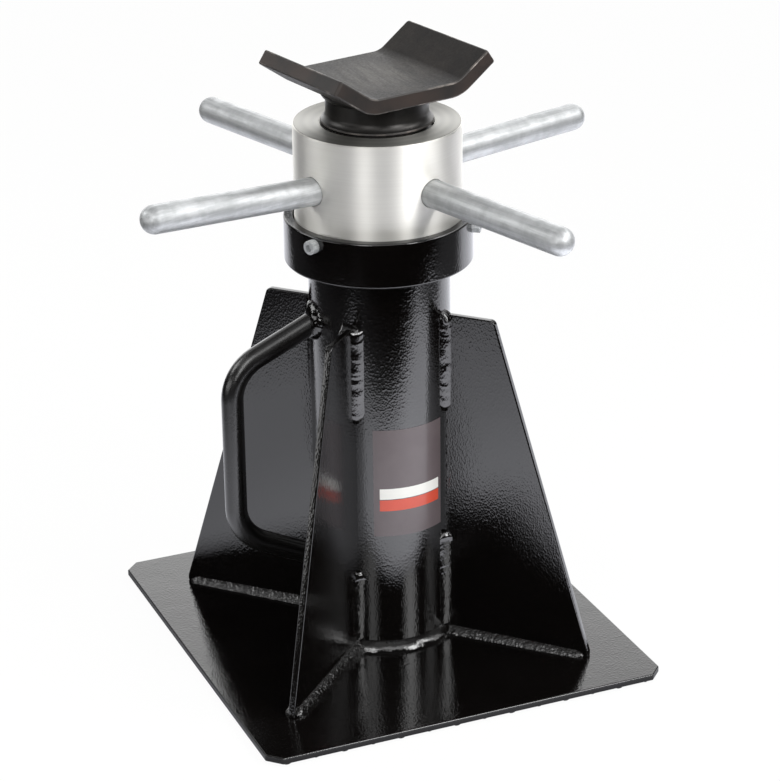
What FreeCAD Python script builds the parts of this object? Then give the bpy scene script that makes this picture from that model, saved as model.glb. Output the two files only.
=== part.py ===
import FreeCAD, Part

import math
import os

# Screw jack stand: a welded stand whose turning nut lifts a spindle with a bent saddle.
# Millimetres and degrees. The origin is on the floor under the column's axis, +Z is up,
# +X runs along the plate's front edge and the carrying handle is on the -X side.

# Base plate: tread plate, laid with its lugs to the floor
base_length = 306.0
base_width = 324.0
plate_thickness = 5.0
plate_corner_cut = 9.7
lug_height = 1.5
lug_length = 26.0
lug_breadth = 8.0
lug_shoulder = 9.0
lug_pitch = 21.35
lug_shift = 9.6

# Column tube
column_diameter = 101.6
column_wall = 8.8
column_length = 294.4

# Gussets, four round the column; the welded cross sits turned a little on the plate
gusset_names = ("gusset_far", "gusset_left", "gusset_near", "gusset_right")
gusset_thickness = 5.0
gusset_height = 254.0
gusset_corner_gap = 58.8
gusset_top_reach = 88.7
gusset_nose = 4.0
gusset_corner_radius = 4.0
gusset_turn_angle = -1.3

# Carrying handle: one round bar, two legs that close in towards the grip
handle_diameter = 16.0
handle_reach = 113.5
handle_grip_span = 127.4
handle_leg_angle = 25.3
handle_bend_radius = 34.0
handle_height = 154.8

# Collar cup on the column's end, where the nut turns
collar_diameter = 135.0
collar_wall = 6.8
collar_height = 33.2
collar_floor = 9.6
collar_socket_depth = 3.6
collar_socket_clearance = 0.1
collar_edge_chamfer = 1.5

# Thrust washer between the collar's floor and the nut
thrust_washer_thickness = 6.0
thrust_washer_diameter = 112.0
thrust_washer_bore = 87.0

# Lift nut
nut_diameter = 119.2
nut_height = 85.2
nut_edge_chamfer = 1.6
nut_mouth_chamfer = 0.6
thread_play = 0.3
groove_depth = 5.0
groove_width = 8.0

# Turning bars, in blind holes round the nut: cut by hand to slightly different lengths, and one
# was set with a slight rise. Each reaches from the column's axis to its round end.
bar_diameter = 20.0
bar_seat_depth = 15.0
bar_clearance = 0.05
bar_drop = 38.7
bar_turn_angle = 17.3
bar_names = ("bar_back_right", "bar_back_left", "bar_front_left", "bar_front_right")
bar_reaches = (198.0, 203.3, 203.0, 195.3)
bar_rise_angles = (0.0, 0.0, 5.2, 0.0)

# Retaining screws: socket heads outside the collar, points in the nut's groove
screw_count = 3
screw_diameter = 6.0
screw_head_diameter = 10.0
screw_head_height = 6.0
screw_socket_width = 5.0
screw_socket_depth = 3.0
screw_clearance = 0.05
screw_point_gap = 0.8
screw_below_rim = 6.5
screw_turn_angle = 206.0

# Spindle: thread at its full diameter, lip and waisted neck above the nut
spindle_diameter = 80.0
spindle_travel = 230.0
spindle_end_chamfer = 3.0
lip_rise = 2.6
lip_edge = 0.8
neck_diameter = 72.5
neck_height = 19.4
neck_flare_height = 2.0
neck_flare_radius = 6.5

# Saddle: thick plate bent up at two sides
saddle_thickness = 11.0
saddle_flat = 76.8
saddle_flange = 35.0
saddle_flange_angle = 34.8
saddle_length = 96.0
saddle_bend_radius = 13.0
saddle_edge_round = 1.0
saddle_turn_angle = 11.9

# Stop at the spindle's foot: washer, split lock washer and hexagon bolt
stop_washer_diameter = 83.0
stop_washer_thickness = 6.0
stop_gap = 0.5
bolt_diameter = 12.0
bolt_clearance = 0.1
bolt_hole_clearance = 0.5
bolt_length = 36.0
bolt_head_width = 18.0
bolt_head_height = 7.5
bolt_hole_depth = 34.0
lock_washer_diameter = 21.0
lock_washer_thickness = 2.5
lock_washer_split = 2.0

# Weld beads: leg sizes, and how far the face swells past the straight line
weld_fullness = 0.6
column_weld_leg = 6.0
gusset_weld_leg = 7.0
stitch_weld_leg = 8.0
stitch_weld_length = 64.0
stitch_weld_margin = 3.0
handle_weld_leg = 5.0
handle_weld_height = 8.0
collar_weld_leg = 4.0
saddle_weld_leg = 3.5

# Levels and radii that follow from the sizes above
plate_bottom = lug_height
plate_top = plate_bottom + plate_thickness
column_radius = column_diameter / 2
column_bore_radius = column_radius - column_wall
column_top = plate_top + column_length
gusset_top = plate_top + gusset_height
gusset_reach = math.hypot(base_length, base_width) / 2 - gusset_corner_gap
gusset_step = 360.0 / len(gusset_names)
gusset_start = gusset_step / 2 + gusset_turn_angle
gusset_angles = [gusset_start + gusset_step * place for place in range(len(gusset_names))]
handle_angle = 180.0 + gusset_turn_angle
handle_middle = plate_top + handle_height
collar_radius = collar_diameter / 2
collar_bottom = column_top - collar_socket_depth
collar_top = collar_bottom + collar_height
collar_floor_top = collar_bottom + collar_floor
nut_radius = nut_diameter / 2
nut_bottom = collar_floor_top + thrust_washer_thickness
nut_top = nut_bottom + nut_height
groove_radius = nut_radius - groove_depth
screw_level = collar_top - screw_below_rim
bar_radius = bar_diameter / 2
bar_level = nut_top - bar_drop
spindle_radius = spindle_diameter / 2
spindle_bottom = nut_bottom - spindle_travel - stop_gap
thread_top = nut_top + lip_rise
neck_radius = neck_diameter / 2
saddle_bottom = thread_top + neck_height
stop_washer_bottom = spindle_bottom - stop_washer_thickness
lock_washer_bottom = stop_washer_bottom - lock_washer_thickness

Vector = FreeCAD.Vector
ORIGIN = Vector(0, 0, 0)
UP = Vector(0, 0, 1)
OUT = Vector(1, 0, 0)
ACROSS = Vector(0, 1, 0)
NO_LENGTH = 1e-6


def save(name, *solids):
    """Write one node: a single solid, or a group of like solids."""
    shape = solids[0] if len(solids) == 1 else Part.makeCompound(list(solids))
    shape.exportStep(os.path.join("parts", name + ".step"))


def turned_about_axis(shape, angle):
    """A copy of a shape, turned about the column's axis."""
    copy = shape.copy()
    copy.rotate(ORIGIN, UP, angle)
    return copy


def corner_points(before, corner, after, radius):
    """Where a corner's round starts, its middle and where it ends."""
    back = (before - corner).normalize()
    ahead = (after - corner).normalize()
    half_angle = back.getAngle(ahead) / 2
    reach = radius / math.tan(half_angle)
    depth = radius / math.sin(half_angle) - radius
    inward = (back + ahead).normalize()
    return corner + back * reach, corner + inward * depth, corner + ahead * reach


def outline_wire(corners, closed=True):
    """A wire in the XZ plane. Each corner is (x, z) or (x, z, radius of its round)."""
    points = [Vector(corner[0], 0, corner[1]) for corner in corners]
    radii = [corner[2] if len(corner) > 2 else 0.0 for corner in corners]
    count = len(points)
    edges = []
    last = None
    first = None
    for place, (point, radius) in enumerate(zip(points, radii)):
        if radius > 0:
            start, middle, end = corner_points(
                points[place - 1], point, points[(place + 1) % count], radius)
        else:
            start, middle, end = point, None, point
        if last is not None and last.distanceToPoint(start) > NO_LENGTH:
            edges.append(Part.LineSegment(last, start).toShape())
        if middle is not None:
            edges.append(Part.Arc(start, middle, end).toShape())
        first = start if first is None else first
        last = end
    if closed and last.distanceToPoint(first) > NO_LENGTH:
        edges.append(Part.LineSegment(last, first).toShape())
    return Part.Wire(edges)


def turned_piece(corners, axis=UP):
    """A solid of revolution from (radius, height) corners, or (length, radius) about OUT."""
    return Part.Face(outline_wire(corners)).revolve(ORIGIN, axis, 360)


def washer(bottom, thickness, outer_diameter, inner_diameter):
    """A flat ring round the column's axis."""
    inner = inner_diameter / 2
    outer = outer_diameter / 2
    top = bottom + thickness
    return turned_piece([(inner, bottom), (outer, bottom), (outer, top), (inner, top)])


def plate_from_outline(corners, thickness):
    """A plate with its outline in the XZ plane, centred on that plane."""
    face = Part.Face(outline_wire(corners))
    face.translate(ACROSS * (-thickness / 2))
    return face.extrude(ACROSS * thickness)


def bead_wire(corner, leg_one, leg_two):
    """The section of a weld bead: two legs from a corner, and a swollen face between them."""
    crown = corner + (leg_one + leg_two) * weld_fullness
    return Part.makePolygon([corner, corner + leg_one, crown, corner + leg_two, corner])


def ring_bead(radius, level, leg, upward):
    """A bead all round the column's axis, in the corner of a cylinder and a flat face."""
    rise = UP * (leg if upward else -leg)
    section = Part.Face(bead_wire(Vector(radius, 0, level), OUT * leg, rise))
    return section.revolve(ORIGIN, UP, 360)


def plate_outline():
    """The base plate's outline in its own plane: a rectangle with its corners cut off."""
    half_x = base_length / 2
    half_y = base_width / 2
    cut = plate_corner_cut
    quarter = [(half_x, half_y - cut), (half_x - cut, half_y)]
    corners = quarter + [(-x, y) for x, y in reversed(quarter)]
    corners += [(-x, -y) for x, y in corners]
    points = [Vector(x, y, 0) for x, y in corners]
    return Part.Face(Part.makePolygon(points + points[:1]))


def lug():
    """One lug along X, standing on the floor: widest over its shoulders, pointed at both ends."""
    tip = Vector(lug_length / 2, 0, 0)
    right = Vector(lug_shoulder / 2, lug_breadth / 2, 0)
    left = Vector(-lug_shoulder / 2, lug_breadth / 2, 0)
    outline = Part.makePolygon([tip, right, left, -tip, -right, -left, tip])
    return Part.Face(outline).extrude(UP * lug_height)


def base_plate():
    """The plate with its field of lugs, set along and across by turns and cut at the edges."""
    outline = plate_outline()
    plate = outline.extrude(UP * plate_thickness)
    plate.translate(UP * plate_bottom)
    lug_along = lug()
    lug_across = turned_about_axis(lug_along, 90)
    columns = math.ceil((base_length / 2 + lug_shift) / lug_pitch)
    rows = math.ceil(base_width / 2 / lug_pitch)
    lugs = []
    for column in range(-columns, columns + 1):
        for row in range(-rows, rows + 1):
            place = Vector(lug_shift + column * lug_pitch, row * lug_pitch, 0)
            model = lug_along if (column + row) % 2 == 0 else lug_across
            lugs.append(model.translated(place))
    field = Part.makeCompound(lugs).common(outline.extrude(UP * lug_height))
    return plate.fuse(field.Solids)


def column_tube():
    """The column, cut square at both ends."""
    return washer(plate_top, column_length, column_diameter, 2 * column_bore_radius)


def gusset():
    """One gusset along +X: square against plate and column, sloped outside."""
    return plate_from_outline([
        (column_radius, plate_top),
        (gusset_reach, plate_top),
        (gusset_reach, plate_top + gusset_nose),
        (gusset_top_reach, gusset_top, gusset_corner_radius),
        (column_radius, gusset_top),
    ], gusset_thickness)


def handle_line():
    """The middle line of the handle's bar in the XZ plane, from inside the column's wall."""
    slope = math.tan(math.radians(handle_leg_angle))
    half_grip = handle_grip_span / 2
    half_end = half_grip + (handle_reach - column_bore_radius) * slope
    return outline_wire([
        (column_bore_radius, handle_middle + half_end),
        (handle_reach, handle_middle + half_grip, handle_bend_radius),
        (handle_reach, handle_middle - half_grip, handle_bend_radius),
        (column_bore_radius, handle_middle - half_end),
    ], closed=False)


def column_solid():
    """The space that the column's outside takes, for coping what is welded to it."""
    return Part.makeCylinder(column_radius, column_length, UP * plate_top)


def handle():
    """The bent bar, with both ends coped to the column."""
    line = handle_line()
    start = line.Edges[0]
    along = start.tangentAt(start.FirstParameter)
    section = Part.Wire(Part.makeCircle(handle_diameter / 2, start.valueAt(start.FirstParameter), along))
    bar = line.makePipeShell([section], True, False)
    return turned_about_axis(bar.cut(column_solid()), handle_angle)


def handle_welds(handle_bar):
    """A bead round each end of the handle, thick at the column and running out along the bar."""
    line = handle_line()
    ends = (line.Edges[0], line.Edges[-1])
    beads = []
    for edge in ends:
        inner, outer = sorted((vertex.Point for vertex in edge.Vertexes), key=lambda point: point.x)
        along = (outer - inner).normalize()
        at_column = inner + along * ((column_radius - inner.x) / along.x)
        root = at_column - along * handle_weld_leg
        root_leg = handle_weld_leg * (1 + handle_weld_leg / handle_weld_height)
        cone = Part.makeCone(
            handle_diameter / 2 + root_leg, handle_diameter / 2,
            handle_weld_leg + handle_weld_height, root, along)
        cone = turned_about_axis(cone.cut(column_solid()), handle_angle)
        beads.append(cone.cut(handle_bar).Solids[0])
    return beads


def column_foot_weld():
    """The bead round the column's foot, broken by the gussets."""
    ring = ring_bead(column_radius, plate_top, column_weld_leg, True)
    slab = Part.makeBox(2 * gusset_reach, gusset_thickness, gusset_height,
                        Vector(-gusset_reach, -gusset_thickness / 2, plate_top))
    return ring.cut([turned_about_axis(slab, angle) for angle in gusset_angles]).Solids


def gusset_foot_welds():
    """A bead along each side of each gusset's foot, from the column's bead to the gusset's nose."""
    start = column_radius + column_weld_leg
    beads = []
    for side in (1, -1):
        corner = Vector(start, side * gusset_thickness / 2, plate_top)
        section = Part.Face(bead_wire(corner, ACROSS * side * gusset_weld_leg, UP * gusset_weld_leg))
        bead = section.extrude(OUT * (gusset_reach - start))
        beads += [turned_about_axis(bead, angle) for angle in gusset_angles]
    return beads


def gusset_column_welds():
    """Two upright stitches on each side of each gusset, at its foot and at its top."""
    half = gusset_thickness / 2
    corner = Vector(math.sqrt(column_radius ** 2 - half ** 2), half, 0)
    on_gusset = corner + OUT * stitch_weld_leg
    root_angle = math.asin(half / column_radius)
    swing = stitch_weld_leg / column_radius
    on_column = Vector(math.cos(root_angle + swing), math.sin(root_angle + swing), 0) * column_radius
    between = Vector(math.cos(root_angle + swing / 2), math.sin(root_angle + swing / 2), 0) * column_radius
    crown = corner + (on_gusset - corner + on_column - corner) * weld_fullness
    section = Part.Face(Part.Wire([
        Part.LineSegment(corner, on_gusset).toShape(),
        Part.LineSegment(on_gusset, crown).toShape(),
        Part.LineSegment(crown, on_column).toShape(),
        Part.Arc(on_column, between, corner).toShape(),
    ]))
    one_side = section.extrude(UP * stitch_weld_length)
    other_side = one_side.mirror(ORIGIN, ACROSS)
    low = plate_top + max(column_weld_leg, gusset_weld_leg) + stitch_weld_margin
    high = gusset_top - stitch_weld_margin - stitch_weld_length
    beads = []
    for level in (low, high):
        for bead in (one_side, other_side):
            raised = bead.translated(UP * level)
            beads += [turned_about_axis(raised, angle) for angle in gusset_angles]
    return beads


def screw_places():
    """The angles of the retaining screws round the column's axis."""
    return [screw_turn_angle + 360.0 / screw_count * place for place in range(screw_count)]


def collar_cup():
    """The cup: a floor that seats on the column's end, and a wall with tapped screw holes."""
    inside = collar_radius - collar_wall
    socket = column_radius + collar_socket_clearance
    cut = collar_edge_chamfer
    cup = turned_piece([
        (socket, collar_bottom),
        (collar_radius - cut, collar_bottom),
        (collar_radius, collar_bottom + cut),
        (collar_radius, collar_top - cut),
        (collar_radius - cut, collar_top),
        (inside + cut, collar_top),
        (inside, collar_top - cut),
        (inside, collar_floor_top),
        (column_bore_radius, collar_floor_top),
        (column_bore_radius, column_top),
        (socket, column_top),
    ])
    hole = Part.makeCylinder(screw_diameter / 2 + screw_clearance, collar_radius,
                             Vector(groove_radius, 0, screw_level), OUT)
    return cup.cut([turned_about_axis(hole, angle) for angle in screw_places()])


def retaining_screws():
    """Socket-head screws through the collar wall, with their points in the nut's groove."""
    point = groove_radius + screw_point_gap
    shank = Part.makeCylinder(screw_diameter / 2, collar_radius - point, Vector(point, 0, screw_level), OUT)
    head = Part.makeCylinder(screw_head_diameter / 2, screw_head_height,
                             Vector(collar_radius, 0, screw_level), OUT)
    socket = hexagon_prism(screw_socket_width, screw_socket_depth)
    socket.rotate(ORIGIN, ACROSS, 90)
    socket.translate(Vector(collar_radius + screw_head_height - screw_socket_depth, 0, screw_level))
    screw = shank.fuse(head).cut(socket)
    return [turned_about_axis(screw, angle) for angle in screw_places()]


def hexagon_prism(width, height):
    """An upright hexagonal prism on the origin, given its width across flats."""
    circle_radius = width / math.sqrt(3)
    points = []
    for place in range(6):
        angle = math.radians(60 * place)
        points.append(Vector(circle_radius * math.cos(angle), circle_radius * math.sin(angle), 0))
    return Part.Face(Part.makePolygon(points + points[:1])).extrude(UP * height)


def bar_blank(radius, reach):
    """A bar or its hole along +X, with its seat left of the nut's wall and its round end right."""
    free_length = reach - nut_radius
    return turned_piece([
        (-bar_seat_depth, 0),
        (-bar_seat_depth, radius),
        (free_length, radius, radius),
        (free_length, 0),
    ], OUT)


def placed_bar(blank, place):
    """A bar blank moved to its hole in the nut's wall."""
    copy = blank.copy()
    copy.rotate(ORIGIN, ACROSS, -bar_rise_angles[place])
    copy.translate(Vector(nut_radius, 0, bar_level))
    return turned_about_axis(copy, bar_turn_angle + 360.0 / len(bar_names) * place)


def lift_nut():
    """The turned drum: threaded bore, groove for the screw points and four bar holes."""
    bore = spindle_radius + thread_play
    low_groove = screw_level - groove_width / 2
    drum = turned_piece([
        (bore, nut_bottom),
        (nut_radius, nut_bottom),
        (nut_radius, low_groove),
        (groove_radius, low_groove),
        (groove_radius, low_groove + groove_width),
        (nut_radius, low_groove + groove_width),
        (nut_radius, nut_top - nut_edge_chamfer),
        (nut_radius - nut_edge_chamfer, nut_top),
        (bore + nut_mouth_chamfer, nut_top),
        (bore, nut_top - nut_mouth_chamfer),
    ])
    holes = [bar_blank(bar_radius + bar_clearance, reach) for reach in bar_reaches]
    return drum.cut([placed_bar(hole, place) for place, hole in enumerate(holes)])


def spindle():
    """The lifting screw: thread diameter below, lip and waisted neck above, bolt hole in its foot."""
    shaft = turned_piece([
        (0, spindle_bottom),
        (spindle_radius - spindle_end_chamfer, spindle_bottom),
        (spindle_radius, spindle_bottom + spindle_end_chamfer),
        (spindle_radius, thread_top - lip_edge),
        (spindle_radius - lip_edge, thread_top),
        (neck_radius, thread_top + neck_flare_height, neck_flare_radius),
        (neck_radius, saddle_bottom),
        (0, saddle_bottom),
    ])
    hole = Part.makeCylinder(bolt_diameter / 2 + bolt_clearance, bolt_hole_depth, UP * spindle_bottom)
    return shaft.cut(hole)


def saddle():
    """The bent plate: flat seat, two flanges up, rounded bends, eased edges."""
    angle = math.radians(saddle_flange_angle)
    half_flat = saddle_flat / 2
    top = saddle_bottom + saddle_thickness
    seat_half = half_flat - saddle_thickness * math.tan(angle / 2)
    tip_x = half_flat + saddle_flange * math.cos(angle)
    tip_z = saddle_bottom + saddle_flange * math.sin(angle)
    upper_x = tip_x - saddle_thickness * math.sin(angle)
    upper_z = tip_z + saddle_thickness * math.cos(angle)
    outer_bend = saddle_bend_radius + saddle_thickness
    right_half = [
        (half_flat, saddle_bottom, outer_bend),
        (tip_x, tip_z, saddle_edge_round),
        (upper_x, upper_z, saddle_edge_round),
        (seat_half, top, saddle_bend_radius),
    ]
    left_half = [(-x, z, radius) for x, z, radius in reversed(right_half)]
    plate = plate_from_outline(right_half + left_half, saddle_length)
    return turned_about_axis(plate, saddle_turn_angle)


def stop_washer():
    """The wide washer that meets the nut from below at full lift."""
    bore = bolt_diameter + 2 * bolt_hole_clearance
    return washer(stop_washer_bottom, stop_washer_thickness, stop_washer_diameter, bore)


def lock_washer():
    """The split washer under the stop bolt's head."""
    bore = bolt_diameter + 2 * bolt_clearance
    ring = washer(lock_washer_bottom, lock_washer_thickness, lock_washer_diameter, bore)
    split = Part.makeBox(lock_washer_diameter, lock_washer_split, lock_washer_thickness,
                         Vector(0, -lock_washer_split / 2, lock_washer_bottom))
    return ring.cut(split)


def stop_bolt():
    """The hexagon bolt that holds the stop washer to the spindle's foot."""
    head = hexagon_prism(bolt_head_width, bolt_head_height)
    head.translate(UP * (lock_washer_bottom - bolt_head_height))
    shank = Part.makeCylinder(bolt_diameter / 2, bolt_length, UP * lock_washer_bottom)
    return head.fuse(shank)


os.makedirs("parts", exist_ok=True)

save("base_plate", base_plate())
save("column_tube", column_tube())
upright_gusset = gusset()
for node_name, gusset_angle in zip(gusset_names, gusset_angles):
    save(node_name, turned_about_axis(upright_gusset, gusset_angle))
carry_handle = handle()
save("carry_handle", carry_handle)
save("handle_welds", *handle_welds(carry_handle))
save("column_foot_weld", *column_foot_weld())
save("gusset_foot_welds", *gusset_foot_welds())
save("gusset_column_welds", *gusset_column_welds())
save("collar_cup", collar_cup())
save("collar_weld", ring_bead(column_radius, collar_bottom, collar_weld_leg, False))
save("retaining_screws", *retaining_screws())
save("thrust_washer", washer(collar_floor_top, thrust_washer_thickness,
                             thrust_washer_diameter, thrust_washer_bore))

save("lift_nut", lift_nut())
for bar_place, node_name in enumerate(bar_names):
    save(node_name, placed_bar(bar_blank(bar_radius, bar_reaches[bar_place]), bar_place))

save("spindle", spindle())
save("saddle", saddle())
save("saddle_weld", ring_bead(neck_radius, saddle_bottom, saddle_weld_leg, False))
save("stop_washer", stop_washer())
save("lock_washer", lock_washer())
save("stop_bolt", stop_bolt())
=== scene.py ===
# %% [markdown]
# # A screw jack stand
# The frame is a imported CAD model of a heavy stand: a welded steel foot, a nut that is turned by four bars,
# and a spindle that rises out of it with a bent saddle on top. This lesson gives each piece the rounded
# edges, the weld beads, the thread and the finishes that a plain CAD solid leaves out. Everything is in
# metres, in the CAD model's own frame: the origin is on the floor under the column, +Z is up.

# %% Load the frame
import random
from math import atan2, ceil, cos, degrees, pi, radians, sin, sqrt, tan

import bmesh
import bpy
from mathutils import Matrix, Vector


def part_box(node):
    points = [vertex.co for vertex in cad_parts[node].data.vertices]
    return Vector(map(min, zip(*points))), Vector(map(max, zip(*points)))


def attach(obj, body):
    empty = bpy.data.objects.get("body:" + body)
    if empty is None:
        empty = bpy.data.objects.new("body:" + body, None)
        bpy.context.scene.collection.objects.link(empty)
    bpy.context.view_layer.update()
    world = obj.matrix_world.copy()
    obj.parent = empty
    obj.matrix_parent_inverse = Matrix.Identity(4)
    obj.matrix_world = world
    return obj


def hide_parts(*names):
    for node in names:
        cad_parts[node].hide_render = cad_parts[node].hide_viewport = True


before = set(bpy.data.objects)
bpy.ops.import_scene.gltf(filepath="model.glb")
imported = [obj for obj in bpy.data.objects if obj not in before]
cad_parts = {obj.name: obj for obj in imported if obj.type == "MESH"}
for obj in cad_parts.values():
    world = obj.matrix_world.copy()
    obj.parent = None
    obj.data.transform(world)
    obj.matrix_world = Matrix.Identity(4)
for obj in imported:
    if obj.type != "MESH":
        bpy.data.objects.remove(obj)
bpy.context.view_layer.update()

# %% [markdown]
# ## Working by hand, in code
# A modeller picks a piece, goes into edit mode, selects some faces or edges and runs a tool on them. These
# small helpers do the same. Each starts by letting go of all that was selected, because an operator acts on
# everything that is, and the CAD nodes come in selected. Parts of a mesh are picked by a test on their
# place.

# %% Helpers for picking and editing
MM = 0.001
UP = Vector((0, 0, 1))


def nothing_selected():
    """Leave edit mode and let go of everything."""
    if bpy.context.object and bpy.context.object.mode != "OBJECT":
        bpy.ops.object.mode_set(mode="OBJECT")
    bpy.ops.object.select_all(action="DESELECT")


def take(*pieces):
    """Select these pieces only; the first is the active one."""
    nothing_selected()
    for piece in pieces:
        piece.select_set(True)
    bpy.context.view_layer.objects.active = pieces[0]
    return pieces[0]


def named(name):
    """Name the active piece, and put its place, turn and size into its mesh."""
    piece = take(bpy.context.object)
    piece.name = piece.data.name = name
    bpy.ops.object.transform_apply(location=True, rotation=True, scale=True)
    return piece


def settled(piece):
    """Put a piece's place, turn and size into its mesh under the name that it has."""
    take(piece)
    return named(piece.name)


def edit(piece):
    """Go into edit mode on one piece, with all of it selected."""
    take(piece)
    bpy.ops.object.mode_set(mode="EDIT")
    bpy.ops.mesh.select_mode(type="VERT")
    bpy.ops.mesh.select_all(action="SELECT")


def middle(part):
    """The middle of a face or an edge."""
    return sum((corner.co for corner in part.verts), Vector()) / len(part.verts)


def pick(kind, wanted):
    """In edit mode, select only the verts, edges or faces that pass the test."""
    bpy.ops.mesh.select_mode(type={"verts": "VERT", "edges": "EDGE", "faces": "FACE"}[kind])
    bpy.ops.mesh.select_all(action="DESELECT")
    shape = bmesh.from_edit_mesh(bpy.context.object.data)
    for part in getattr(shape, kind):
        if wanted(part):
            part.select_set(True)
    shape.select_flush_mode()
    bmesh.update_edit_mesh(bpy.context.object.data)


def facing_out():
    """In edit mode, select everything and turn its faces outwards."""
    bpy.ops.mesh.select_all(action="SELECT")
    bpy.ops.mesh.normals_make_consistent(inside=False)


def modify(piece, kind, **settings):
    """Add one modifier with its settings, and apply it."""
    take(piece)
    modifier = piece.modifiers.new(kind.lower(), kind)
    for name, value in settings.items():
        setattr(modifier, name, value)
    bpy.ops.object.modifier_apply(modifier=modifier.name)


def copy_of(piece, name, turn=0.0, move=(0, 0, 0), size=1.0):
    """A copy with its own mesh, sized, turned about the column's axis and moved."""
    take(piece)
    bpy.ops.object.duplicate(linked=False)
    bpy.context.object.scale = (size, size, size)
    bpy.context.object.rotation_euler.z = radians(turn)
    bpy.context.object.location = move
    return named(name)


def drawn_line(name, corners):
    """A line of edges in the XZ plane, drawn corner by corner with extrude. Corners are in millimetres."""
    nothing_selected()
    bpy.ops.mesh.primitive_plane_add(size=MM)
    piece = named(name)
    edit(piece)
    bpy.ops.mesh.merge(type="CENTER")
    points = [Vector((across, 0, along)) * MM for across, along in corners]
    bpy.ops.transform.translate(value=points[0])
    for here, there in zip(points, points[1:]):
        bpy.ops.mesh.extrude_vertices_move(TRANSFORM_OT_translate={"value": there - here})
    return piece


def joined(name, *pieces):
    """Several pieces made one."""
    take(*pieces)
    bpy.ops.object.join()
    return named(name)


def scrap(*pieces):
    """Take away pieces that were only made to be copied or to cut."""
    for piece in pieces:
        bpy.data.objects.remove(piece)


# %% [markdown]
# ## The camera
# The photograph was taken with a long lens, a little from the left and from above. The numbers come from
# fitting the plate's corners, the gussets and the rims of the collar and nut to the picture: the camera's
# own axes and its place are known, so its matrix is written down directly, one column per axis.

# %% Camera
camera_right = Vector((0.920212, -0.391269, -0.010936))
camera_up = Vector((0.165874, 0.364502, 0.916310))
camera_back = Vector((-0.354537, -0.845013, 0.400320))
camera_place = Vector((-703.16, -1693.30, 993.02)) * MM
focal_pixels = 2749.26
photo_height = 781
sensor = 36.0

lens = bpy.data.cameras.new("camera")
lens.sensor_width = lens.sensor_height = sensor
lens.lens = focal_pixels / photo_height * sensor
lens.clip_start, lens.clip_end = 0.05, 50
camera = bpy.data.objects.new("camera", lens)
bpy.context.scene.collection.objects.link(camera)
columns = Matrix((camera_right, camera_up, camera_back)).transposed().to_4x4()
camera.matrix_world = Matrix.Translation(camera_place) @ columns
bpy.context.scene.camera = camera
bpy.context.scene.view_settings.view_transform = "Standard"
print("lens", round(lens.lens, 1), "mm, camera", round(camera_place.length, 2), "m away")

# %% [markdown]
# ## Colours and nodes
# Colours are written as they look on a screen, and one function turns them into the linear values that
# light is reckoned in. Another adds a shader node, sets its settings, and sets or links its inputs. The
# small functions after it add the nodes that come back in nearly every finish, and each gives back that
# node's output.

# %% Helpers for shading


def colour(code):
    """A screen colour such as #c0c0c0 as linear red, green, blue and alpha."""
    parts = [int(code[place:place + 2], 16) / 255 for place in (1, 3, 5)]
    return [part / 12.92 if part <= 0.04045 else ((part + 0.055) / 1.055) ** 2.4 for part in parts] + [1.0]


def is_output(value):
    """Whether a value comes from another node."""
    return isinstance(value, bpy.types.NodeSocket)


def feed(made, inputs):
    """Fill a node's inputs: another node's output is linked, and any other value is set."""
    for socket, value in inputs.items():
        if is_output(value):
            made.id_data.links.new(value, made.inputs[socket])
        else:
            made.inputs[socket].default_value = value


def node(tree, kind, inputs=None, **settings):
    """Add one node, with its settings and its inputs."""
    made = tree.nodes.new("ShaderNode" + kind)
    for name, value in settings.items():
        setattr(made, name, value)
    feed(made, inputs or {})
    return made


def new_finish(name):
    """An empty material, its surface shader, and its Object coordinates."""
    finish = bpy.data.materials.new(name)
    finish.use_nodes = True
    tree = finish.node_tree
    tree.nodes.clear()
    shader = node(tree, "BsdfPrincipled")
    node(tree, "OutputMaterial", {"Surface": shader.outputs["BSDF"]})
    return finish, shader, node(tree, "TexCoord").outputs["Object"]


# %% Helpers for numbers in nodes


def ramp(value, start, end, low, high, curve="SMOOTHSTEP"):
    """A step between two levels, soft unless another curve is named."""
    inputs = {"Value": value, "From Min": start, "From Max": end, "To Min": low, "To Max": high}
    return node(value.id_data, "MapRange", inputs, interpolation_type=curve).outputs["Result"]


def reckon(operation, first, second=0.0):
    """One sum on two numbers, at least one of them an output."""
    tree = (first if is_output(first) else second).id_data
    return node(tree, "Math", {0: first, 1: second}, operation=operation).outputs["Value"]


def times(first, second):
    """The product of two numbers."""
    return reckon("MULTIPLY", first, second)


def measured(operation, place, vector):
    """How far a place lies along a direction, or from a point."""
    return node(place.id_data, "VectorMath", {0: place, 1: vector}, operation=operation).outputs["Value"]


def mixed(factor, first, second):
    """A number between an output and another number."""
    return node(first.id_data, "Mix", {"Factor": factor, "A": first, "B": second}).outputs["Result"]


# %% Helpers for patterns in nodes
UNIT = 1 / MM


def per_metre(millimetres):
    """The scale that makes a pattern's cell this many millimetres wide."""
    return 1 / (millimetres * MM)


def stretched(place, scale, turn=0.0):
    """Coordinates scaled, then turned about the upright axis. A pattern on them has the cell UNIT."""
    inputs = {"Vector": place, "Scale": scale, "Rotation": (0, 0, radians(turn))}
    return node(place.id_data, "Mapping", inputs).outputs["Vector"]


def noise(place, cell, detail, roughness=0.5):
    """Clouds with cells of this many millimetres."""
    inputs = {"Vector": place, "Scale": per_metre(cell), "Detail": detail, "Roughness": roughness}
    return node(place.id_data, "TexNoise", inputs).outputs["Fac"]


def lathe_marks(place, cell, distortion):
    """Rings round the upright axis, 2 pi times this many millimetres apart."""
    inputs = {"Vector": place, "Scale": per_metre(cell) / 20, "Distortion": distortion, "Detail": 2.0}
    return node(place.id_data, "TexWave", inputs, wave_type="RINGS", rings_direction="Z").outputs["Fac"]


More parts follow.
